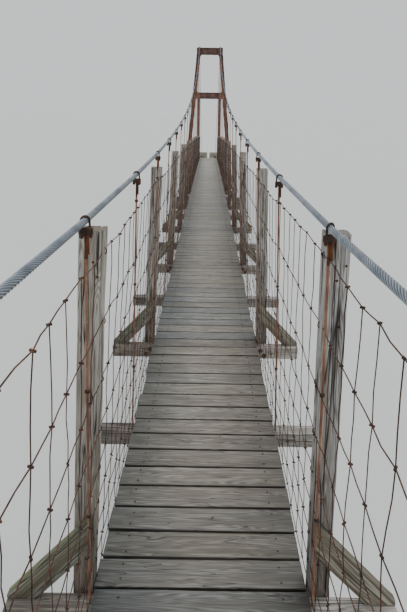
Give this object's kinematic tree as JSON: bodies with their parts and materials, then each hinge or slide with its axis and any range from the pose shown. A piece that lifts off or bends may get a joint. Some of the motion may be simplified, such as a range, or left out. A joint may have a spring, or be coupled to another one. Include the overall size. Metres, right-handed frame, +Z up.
{
  "type": "suspension footbridge, 1:2 scale model",
  "caption": "Narrow suspension footbridge at half size: plank deck, leaning timber posts with wire fence, hanger rods, two main cables over battered steel towers, and anchor blocks.",
  "frame": {"origin": "ground level, below the middle of the span", "axes": "+Y along the bridge, +X to the right of someone who walks towards +Y, +Z up"},
  "size_m": [1.26, 38.8918, 2.9518],
  "materials": {
    "deck_plank": "weathered grey softwood, sawn",
    "frame_timber": "weathered grey softwood, sawn",
    "wire_rope": "dull galvanised wire rope",
    "rusty_steel": "old red-brown paint and rust",
    "concrete": "weathered cast concrete"
  },
  "bodies": {
    "root": {"deck_planks_1": "deck_plank", "deck_planks_2": "deck_plank", "deck_planks_3": "deck_plank", "deck_planks_4": "deck_plank", "deck_planks_5": "deck_plank", "deck_frame_1": "frame_timber", "deck_frame_2": "frame_timber", "deck_frame_3": "frame_timber", "deck_frame_4": "frame_timber", "deck_frame_5": "frame_timber", "side_fence_left_1": "frame_timber", "side_fence_left_2": "frame_timber", "side_fence_left_3": "frame_timber", "side_fence_left_4": "frame_timber", "side_fence_left_5": "frame_timber", "side_fence_right_1": "frame_timber", "side_fence_right_2": "frame_timber", "side_fence_right_3": "frame_timber", "side_fence_right_4": "frame_timber", "side_fence_right_5": "frame_timber", "main_cable_left": "wire_rope", "main_cable_right": "wire_rope", "near_anchor_left": "concrete", "near_anchor_right": "concrete", "far_anchor_left": "concrete", "far_anchor_right": "concrete", "near_tower_footing_left": "concrete", "near_tower_footing_right": "concrete", "near_tower_leg_left": "rusty_steel", "near_tower_leg_right": "rusty_steel", "near_tower_portal_post_left": "rusty_steel", "near_tower_portal_post_right": "rusty_steel", "near_tower_middle_beam": "rusty_steel", "near_tower_top_beam": "rusty_steel", "near_tower_deck_seat": "rusty_steel", "far_tower_footing_left": "concrete", "far_tower_footing_right": "concrete", "far_tower_leg_left": "rusty_steel", "far_tower_leg_right": "rusty_steel", "far_tower_portal_post_left": "rusty_steel", "far_tower_portal_post_right": "rusty_steel", "far_tower_middle_beam": "rusty_steel", "far_tower_top_beam": "rusty_steel", "far_tower_deck_seat": "rusty_steel"}
  },
  "joints": []
}
